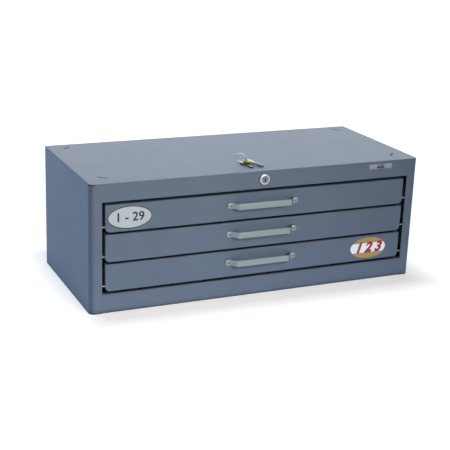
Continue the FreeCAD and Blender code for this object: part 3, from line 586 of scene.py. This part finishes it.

# %% [markdown]
# A key is stamped from nickel silver sheet: a round bow with a hole, a short neck, and a blade
# with a milled groove along each side and notches of two depths. The bow is lacquered in a brass
# colour. Both keys are drawn flat, pointing to the front, with the hole at the origin. A bisect
# just past the neck parts the faces of the blade from those of the bow, so that the blade can
# have a finish of its own, painted dark as shade. Then each key is tilted onto its tip, turned,
# and moved to its place on the top.

# %% Outline of a key
KEY_SHEET = 1.6
BOW_RADIUS, BOW_MIDDLE_Y = 9.0, -4.5
BOW_FROM, BOW_TO = -65.4, 245.4                # degrees
NECK_Y, NECK_HALF = -15.5, 3.75
BLADE_Y = NECK_Y - 0.7        # where the lacquer of the bow ends
BLADE_HALF = 3.0
TIP_Y, TIP_HALF, TIP_TAPER = -35.0, 0.6, 2.5
NOTCHES, NOTCH_STEP, NOTCH_DEPTHS = 5, 3.1, (1.4, 0.9)
NOTCH_FLOOR, NOTCH_MOUTH = 0.35, 0.3           # half widths: at the floor, and beyond the depth


def key_outline():
    """Corners of the key, around the bow and then along both sides of the blade."""
    bow = arc((0, BOW_MIDDLE_Y), BOW_RADIUS, BOW_FROM, BOW_TO, 44)
    left = [(-NECK_HALF, NECK_Y), (-BLADE_HALF, NECK_Y - 0.4), (-BLADE_HALF, TIP_Y + TIP_TAPER),
            (-TIP_HALF, TIP_Y)]
    right = [(TIP_HALF, TIP_Y), (BLADE_HALF, TIP_Y + TIP_TAPER)]
    for i in reversed(range(NOTCHES)):
        y = NECK_Y - NOTCH_STEP * (i + 1)
        depth = NOTCH_DEPTHS[i % 2]
        right += [(BLADE_HALF, y - depth - NOTCH_MOUTH), (BLADE_HALF - depth, y - NOTCH_FLOOR),
                  (BLADE_HALF - depth, y + NOTCH_FLOOR), (BLADE_HALF, y + depth + NOTCH_MOUTH)]
    right += [(BLADE_HALF, NECK_Y - 0.4), (NECK_HALF, NECK_Y)]
    return bow + left + right


print("key outline:", len(key_outline()), "corners")

# %% Keys
KEY_EDGE = 0.15
HOLE_RADIUS = 3
GROOVE_LEFT, GROOVE_RIGHT, GROOVE_DEPTH = -1.6, -0.3, 0.4
GROOVE_Y = NECK_Y + 1.5       # where the grooves run out, in the bow
TOP_Z = 214.0                 # top of the cabinet


def flat_key(name):
    corners = [(x, y, 0) for x, y in key_outline()]
    piece = point_at(name, corners[0])
    draw_line(corners)
    bpy.ops.mesh.select_all(action="SELECT")
    bpy.ops.mesh.edge_face_add()
    up = mm(0, 0, KEY_SHEET)
    bpy.ops.mesh.extrude_region_move(TRANSFORM_OT_translate={"value": up})
    bpy.ops.mesh.select_all(action="SELECT")
    bpy.ops.mesh.normals_make_consistent(inside=False)
    choose(piece, "EDGE", is_level)
    bpy.ops.mesh.bevel(offset=KEY_EDGE * MM, segments=2, affect="EDGES")
    close(piece)
    bpy.ops.object.select_all(action="DESELECT")
    bpy.ops.mesh.primitive_cylinder_add(vertices=40, radius=HOLE_RADIUS * MM, depth=6 * MM)
    cut(piece, bpy.context.active_object)
    for base in (GROOVE_DEPTH - 1, KEY_SHEET - GROOVE_DEPTH):
        cut(piece, box_cutter((GROOVE_LEFT, TIP_Y - 1, base), (GROOVE_RIGHT, GROOVE_Y, base + 1)))
    edit(piece)
    bpy.ops.mesh.bisect(plane_co=mm(0, BLADE_Y, 0), plane_no=(0, 1, 0))
    close(piece)
    piece.data.materials.append(brass)
    # The blade's faces get the dark finish, painted shade.
    finish_faces(piece, blade_metal_painted_dark, lambda corners: max(c.y for c in corners) < BLADE_Y + 0.01)
    return piece


def lay(piece, rise, turn, place):
    """Raises the key's hole over its tip, turns the key in degrees and moves it, in its mesh."""
    lean = math.asin(rise / -TIP_Y)
    for step in (Matrix.Translation(mm(0, -TIP_Y, 0)), Matrix.Rotation(lean, 4, "X"),
                 Matrix.Translation(mm(0, TIP_Y, 0)),
                 Matrix.Rotation(math.radians(turn), 4, "Z"), Matrix.Translation(mm(*place))):
        piece.data.transform(step)
    return piece


lower_key = lay(flat_key("lower_key"), 1.15, -1.7, (-11.5, -74.2, TOP_Z))
upper_key = lay(flat_key("upper_key"), 4.0, 32.8, (-9.1, -76.6, TOP_Z))
dress(lower_key, None, "keys", "key_brass", "key_1")
dress(upper_key, None, "keys", "key_brass", "key_2")

# %% [markdown]
# The plates on the fronts are thin sheet with printed foil on them: a silver oval with a dark
# line around it and the range of numbers, a gold oval with a white bar across it and slanted red
# numbers, and a small plate on the top rail with a grey printed field. Screen print is an opaque,
# slightly uneven ink, so it has a plain colour with a weak grain. The gold foil and the white bar
# shine like the bright foil below them, which a metallic share gives.

# %% Printed finishes
INK_GRAIN_MM, INK_RELIEF_MM, INK_STRENGTH = 1.2, 0.05, 0.05
THIN_INK = 0.92               # brightness where the ink is thinnest


def printed(name, hex_colour, roughness=0.45, metallic=0.0):
    material, tree = finish_named(name)
    place = node(tree, "ShaderNodeTexCoord").outputs["Object"]
    grain = node(tree, "ShaderNodeTexNoise", {"Scale": per_mm(INK_GRAIN_MM), "Detail": 3.0},
                 {"Vector": place})
    full = linear(hex_colour)
    thin = (*(THIN_INK * c for c in full[:3]), 1.0)
    colour = node(tree, "ShaderNodeMix", {"data_type": "RGBA", DARK: thin, LIGHT: full},
                  {0: grain.outputs["Fac"]})
    relief = node(tree, "ShaderNodeBump",
                  {"Strength": INK_STRENGTH, "Distance": INK_RELIEF_MM * MM},
                  {"Height": grain.outputs["Fac"]})
    shader = node(tree, "ShaderNodeBsdfPrincipled", {"Roughness": roughness, "Metallic": metallic},
                  {"Base Color": colour.outputs[MIXED], "Normal": relief.outputs[0]})
    node(tree, "ShaderNodeOutputMaterial", {}, {"Surface": shader.outputs[0]})
    print(name, hex_colour)
    return material


silver_foil = printed("silver_printed_foil", "#c4d7e4", 0.4)
grey_foil = printed("grey_printed_foil", "#a3b2c1", 0.4)
gold_foil = printed("gold_printed_foil", "#a8925a", 0.4, 0.5)
white_print = printed("white_screen_print", "#eef4ff", 0.35, 0.4)
red_print = printed("red_screen_print", "#b81a38")
black_print = printed("black_screen_print", "#141b26", 0.6)
grey_print = printed("grey_screen_print", "#7f8b98")

# %% [markdown]
# Both ovals are circles that are stretched, extruded and inset three times: a soft edge, a rim
# and a thin step. The other flat shapes are drawn corner by corner, filled, extruded and inset
# once. On the silver oval the ring that the insets leave takes the colour of its printed line,
# and on the white bar it is a dark edge all round. Numbers are text that is turned into a mesh,
# and all print stands a few hundredths of a millimetre above the foil.

# %% Helpers for plates and print
PLATE = 0.5                   # thickness of an oval plate
PRINT = 0.05                  # and of a print on it
TEXT_HALF = 0.03              # half the thickness of a number
SOFT_EDGE, INNER_STEP = 0.15, 0.2
UPRIGHT = 90.0                # degrees


def oval_plate(name, middle, size, rim):
    """An oval plate on a drawer's front with a rim around its face. The middle is (x, z)."""
    bpy.ops.object.select_all(action="DESELECT")
    bpy.ops.mesh.primitive_circle_add(vertices=96, radius=0.5, fill_type="NGON")
    piece = new_piece(name)
    bpy.ops.transform.rotate(value=math.pi / 2, orient_axis="X", center_override=(0, 0, 0))
    bpy.ops.transform.resize(value=mm(size[0], 1, size[1]), center_override=(0, 0, 0))
    bpy.ops.transform.translate(value=mm(middle[0], FACE_Y, middle[1]))
    forward = mm(0, -PLATE, 0)
    bpy.ops.mesh.extrude_region_move(TRANSFORM_OT_translate={"value": forward})
    for width in (SOFT_EDGE, rim, INNER_STEP):
        bpy.ops.mesh.inset(thickness=width * MM, depth=0)
    return close(piece)


def flat_shape(name, corners, y, thickness, rim):
    """A thin shape facing the front, from its corners (x, z), with a rim around its face."""
    places = [(x, y, z) for x, z in corners]
    piece = point_at(name, places[0])
    draw_line(places)
    bpy.ops.mesh.select_all(action="SELECT")
    bpy.ops.mesh.edge_face_add()
    forward = mm(0, -thickness, 0)
    bpy.ops.mesh.extrude_region_move(TRANSFORM_OT_translate={"value": forward})
    bpy.ops.mesh.inset(thickness=rim * MM, depth=0)
    return close(piece)


def ring_area(corners):
    """Square millimetres of a four-cornered face that lies flat in the front of a plate, or 0."""
    depths = [corner.y for corner in corners]
    if len(corners) != 4 or max(depths) - min(depths) > 0.001:
        return 0
    return (corners[2] - corners[0]).cross(corners[3] - corners[1]).length / 2


def print_text(name, words, size, place, tilt=UPRIGHT, slant=0.0, weight=0.0):
    """Flat numbers as a thin mesh; a weight makes them bolder by that many millimetres."""
    bpy.ops.object.select_all(action="DESELECT")
    bpy.ops.object.text_add()
    text = bpy.context.active_object.data
    text.body = words
    text.size = size * MM
    text.align_x = text.align_y = "CENTER"
    text.extrude = TEXT_HALF * MM
    text.resolution_u = 4
    text.shear = slant
    text.offset = weight * MM
    bpy.ops.object.convert(target="MESH")
    piece = bpy.context.active_object
    piece.name = piece.data.name = name
    piece.data.transform(Matrix.Rotation(math.radians(tilt), 4, "X"))
    piece.data.transform(Matrix.Translation(mm(*place)))
    return piece


# %% Silver oval with the range of numbers
LABEL = (-231.3, 156.75)      # x and z of its middle
LABEL_SIZE, LABEL_RIM = (75, 38.5), 1.7
LABEL_RING = 1.5              # a face of the rim is larger than this, one beside it smaller
label = oval_plate("oval_label_plate", LABEL, LABEL_SIZE, LABEL_RIM)
dress(label, silver_foil, "drawer_1", "plate_silver", "drawer_1_oval_label")
finish_faces(label, black_print, lambda corners: ring_area(corners) > LABEL_RING)
label_numbers = print_text("oval_label_numbers", "1 - 29", 20.5,
                           (LABEL[0], FACE_Y - PLATE - PRINT / 2, LABEL[1]), weight=0.35)
dress(label_numbers, black_print, "drawer_1", "plate_silver")

# %% Gold oval with a white bar
BADGE = (209.0, 59.0)         # x and z of its middle
BADGE_HALF, BADGE_RIM = (36.0, 19.0), 0.8
BAR_HALF, BAR_INSIDE, BAR_RIM = 9.6, 0.3, 0.7
BAR_RING = 0.2                # a face of the bar's rim is larger than this
badge = oval_plate("oval_badge_plate", BADGE, (2 * BADGE_HALF[0], 2 * BADGE_HALF[1]), BADGE_RIM)
dress(badge, gold_foil, "drawer_3", "badge_gold", "drawer_3_oval_badge")


def bar_outline():
    """Corners of a bar across the badge, whose ends follow the edge of the oval just inside it."""
    width, height = BADGE_HALF[0] - BAR_INSIDE, BADGE_HALF[1] - BAR_INSIDE
    reach = math.degrees(math.asin(BAR_HALF / height))
    ends = arc((0, 0), 1, -reach, reach, 12) + arc((0, 0), 1, 180 - reach, 180 + reach, 12)
    return [(BADGE[0] + width * x, BADGE[1] + height * z) for x, z in ends + ends[:1]]


bar = flat_shape("oval_badge_white_bar", bar_outline(), FACE_Y - PLATE, PRINT, BAR_RIM)
dress(bar, white_print, "drawer_3", "badge_gold")
# The white bar gets a dark edge all round.
finish_faces(bar, black_print, lambda corners: ring_area(corners) > BAR_RING)
badge_numbers = print_text("oval_badge_numbers", "1 2 3", 25,
                           (BADGE[0], FACE_Y - PLATE - 1.5 * PRINT, BADGE[1]),
                           slant=0.3, weight=1.3)
dress(badge_numbers, red_print, "drawer_3", "badge_gold")

# %% Small plate on the top rail
SMALL_PLATE = (
    # name, finish, CAD node, low and high corner (x, z), corner radius, base, thickness, rim
    ("top_rail_small_plate", grey_foil, ["name_plate"], (199.0, 201.0), (244.0, 209.5), 1.5,
     0, 0.4, 0.3),
    ("small_plate_grey_field", grey_print, [], (214.0, 201.5), (229.0, 209.0), 0.5,
     0.4, 0.02, 0.2),
    ("small_plate_dark_band", black_print, [], (214.6, 202.3), (228.4, 204.8), 0.4,
     0.42, 0.02, 0.15),
)


def rounded_corners(low, high, radius):
    """Corners (x, z) of a rectangle with round corners, closed."""
    left, right = low[0] + radius, high[0] - radius
    bottom, top = low[1] + radius, high[1] - radius
    corners = []
    for i, middle in enumerate(((right, top), (left, top), (left, bottom), (right, bottom))):
        corners += arc(middle, radius, 90 * i, 90 * i + 90, 6)
    return corners + corners[:1]


for name, finish, stands_for, low, high, radius, base, thickness, rim in SMALL_PLATE:
    shape = flat_shape(name, rounded_corners(low, high, radius), FRONT_Y - base, thickness, rim)
    dress(shape, finish, "cabinet", "plate_silver", *stands_for)

# %% [markdown]
# Behind each drawer front a strip carries the numbers of the compartments, counted through the
# whole cabinet. Every number is a small text of its own, set in the middle of its compartment and
# tilted as the strip is, and the numbers of a drawer are joined into one print.

# %% Numbers on the label strips
DRAWER_FLOOR = {1: 134.0, 2: 85.0, 3: 36.0}
COMPARTMENTS = {1: 12, 2: 9, 3: 8}
TRAY_LEFT = -263.1
TRAY_WIDTH = 527.0
STRIP_Y, STRIP_RISE = -117.3, 38.86            # middle of the strip, over the drawer's lower edge
STRIP_TILT = -22.5            # degrees, down to the back


def strip_numbers(number, first):
    count = COMPARTMENTS[number]
    step = TRAY_WIDTH / count
    height = DRAWER_FLOOR[number] + STRIP_RISE
    prints = [print_text("number_%d" % (first + i), str(first + i), 8.5,
                         (TRAY_LEFT + step * (i + 0.5), STRIP_Y, height), STRIP_TILT, weight=0.1)
              for i in range(count)]
    bpy.ops.object.select_all(action="DESELECT")
    for printed_number in prints:
        printed_number.select_set(True)
    bpy.context.view_layer.objects.active = prints[0]
    bpy.ops.object.join()
    prints[0].name = prints[0].data.name = "drawer_%d_strip_numbers" % number
    return prints[0]


first = 1
for number, count in COMPARTMENTS.items():
    dress(strip_numbers(number, first), black_print, "drawer_%d" % number, "strip_paint")
    first += count

# %% [markdown]
# The cabinet stands on a white sweep in a bright studio. What the camera sees straight or in a
# reflection is white all around, and Light Path's ray outputs keep that white from lighting the
# object. The floor keeps the soft shadow. The shadow is weaker than these lamps alone would make
# it, so the floor also glows a little where the camera looks at it, less close to the cabinet
# than away from it.

# %% Floor and sky
FLOOR_SIZE = 12               # metres
FOOTPRINT_MIDDLE = mm(10, 0, 0)
FOOTPRINT_HALF = mm(285, 160, 0)
CONTACT_GLOW, NEAR_GLOW, NEAR_REACH = 0.49, 0.82, 0.055
FAR_GLOW, FAR_FROM, FAR_TO = 0.2, 0.1, 1.5
CARD_COLOUR = (0.9, 0.9, 0.9, 1)               # what the floor sends back as diffuse light
FLOOR_COLOUR = (0.63, 0.64, 0.66, 1)           # what the camera sees under the glow
SKY_COLOUR, SKY_STRENGTH = "#e4f2ff", 0.09


def seen_directly(tree):
    """1 for what the camera sees, straight, mirrored or through glass, and 0 for diffuse light."""
    path = node(tree, "ShaderNodeLightPath")
    mirrored = node(tree, "ShaderNodeMath", {"operation": "ADD", "use_clamp": True},
                    {0: path.outputs["Is Camera Ray"], 1: path.outputs["Is Glossy Ray"]})
    through = node(tree, "ShaderNodeMath", {"operation": "ADD", "use_clamp": True},
                   {0: mirrored.outputs[0], 1: path.outputs["Is Transmission Ray"]})
    return through.outputs[0]


def distance_from_footprint(tree):
    """Metres from the nearest side of the cabinet's footprint, 0 under the cabinet."""
    place = node(tree, "ShaderNodeTexCoord").outputs["Object"]
    centred = node(tree, "ShaderNodeVectorMath", {"operation": "SUBTRACT", 1: FOOTPRINT_MIDDLE},
                   {0: place})
    unsigned = node(tree, "ShaderNodeVectorMath", {"operation": "ABSOLUTE"},
                    {0: centred.outputs[0]})
    past = node(tree, "ShaderNodeVectorMath", {"operation": "SUBTRACT", 1: FOOTPRINT_HALF},
                {0: unsigned.outputs[0]})
    outside = node(tree, "ShaderNodeVectorMath", {"operation": "MAXIMUM", 1: (0, 0, 0)},
                   {0: past.outputs[0]})
    length = node(tree, "ShaderNodeVectorMath", {"operation": "LENGTH"}, {0: outside.outputs[0]})
    return length.outputs["Value"]


def white_floor():
    bpy.ops.mesh.primitive_plane_add(size=FLOOR_SIZE, location=(0, 0, 0))
    floor = bpy.context.active_object
    floor.name = "floor"
    material, tree = finish_named("white_sweep")
    distance = {"Value": distance_from_footprint(tree)}
    near = node(tree, "ShaderNodeMapRange",
                {"From Max": NEAR_REACH, "To Min": CONTACT_GLOW, "To Max": NEAR_GLOW}, distance)
    far = node(tree, "ShaderNodeMapRange",
               {"From Min": FAR_FROM, "From Max": FAR_TO, "To Max": FAR_GLOW}, distance)
    glow = node(tree, "ShaderNodeMath", {"operation": "ADD"},
                {0: near.outputs[0], 1: far.outputs[0]})
    card = node(tree, "ShaderNodeBsdfDiffuse", {"Color": CARD_COLOUR})
    shade = node(tree, "ShaderNodeBsdfDiffuse", {"Color": FLOOR_COLOUR})
    lift = node(tree, "ShaderNodeEmission", {}, {"Strength": glow.outputs[0]})
    seen = node(tree, "ShaderNodeAddShader", {}, {0: shade.outputs[0], 1: lift.outputs[0]})
    pick = node(tree, "ShaderNodeMixShader", {},
                {0: seen_directly(tree), 1: card.outputs[0], 2: seen.outputs[0]})
    node(tree, "ShaderNodeOutputMaterial", {}, {"Surface": pick.outputs[0]})
    floor.data.materials.append(material)
    print("floor:", len(tree.nodes), "nodes")


def studio_sky():
    world = bpy.data.worlds.new("studio")
    world.use_nodes = True
    tree = world.node_tree
    tree.nodes.clear()
    fill = node(tree, "ShaderNodeBackground",
                {"Color": linear(SKY_COLOUR), "Strength": SKY_STRENGTH})
    white = node(tree, "ShaderNodeBackground", {"Color": (1, 1, 1, 1), "Strength": 1.0})
    pick = node(tree, "ShaderNodeMixShader", {},
                {0: seen_directly(tree), 1: fill.outputs[0], 2: white.outputs[0]})
    node(tree, "ShaderNodeOutputWorld", {}, {"Surface": pick.outputs[0]})
    bpy.context.scene.world = world


white_floor()
studio_sky()

# %% [markdown]
# A big soft box far behind lights the top about twice as much as the front, as in the photograph,
# and one overhead evens it out. The front has two warmer soft boxes: one lights it evenly, and
# the other has a grid, so that its light falls off to the right. A cool one stands on the left at
# the back for the side, and a white card lies on the floor before the front and lifts the shadows
# under its edges. None of them is seen by the camera.

# %% Lamps
LAMPS = (
    # name, place and aim in metres, width and height, watts, colour, spread in degrees
    ("overhead_softbox", (-0.2, 0.1, 2.2), (0, 0, 0.1), (2.2, 1.8), 7, "#f6f9ff", 180),
    ("front_softbox", (-0.25, -1.3, 0.8), (-0.2, -0.13, 0.1), (0.6, 0.5), 4.9, "#ffebda", 180),
    ("front_gridded_softbox", (0.25, -1.25, 0.75), (-0.3, -0.13, 0.1), (0.5, 0.5), 0.9,
     "#ffebda", 60),
    ("back_softbox", (1.5, 3.9, 1.4), (0, 0, 0.2), (4.4, 2.0), 74, "#f3f7ff", 180),
    ("left_rear_softbox", (-1.7, 1.2, 0.7), (-0.297, 0, 0.1), (1.0, 0.8), 11.6, "#9bd9ff", 180),
    ("white_card_before_front", (0.0, -0.205, 0.001), (0.0, -0.2049, 1.0), (0.9, 0.14), 0.16,
     "#d5e8ff", 180),
)


def lamp(name, place, aim, size, watts, hex_colour, spread):
    light = bpy.data.lights.new(name, "AREA")
    light.shape = "RECTANGLE"
    light.size, light.size_y = size
    light.energy = watts
    light.color = linear(hex_colour)[:3]
    light.spread = math.radians(spread)
    stand = bpy.data.objects.new(name, light)
    stand.location = place
    sight = Vector(aim) - Vector(place)
    stand.rotation_euler = sight.to_track_quat("-Z", "Y").to_euler()
    stand.visible_camera = False
    bpy.context.scene.collection.objects.link(stand)


for settings in LAMPS:
    lamp(*settings)
bpy.context.scene.view_settings.view_transform = "Standard"
print("lamps:", len(LAMPS))
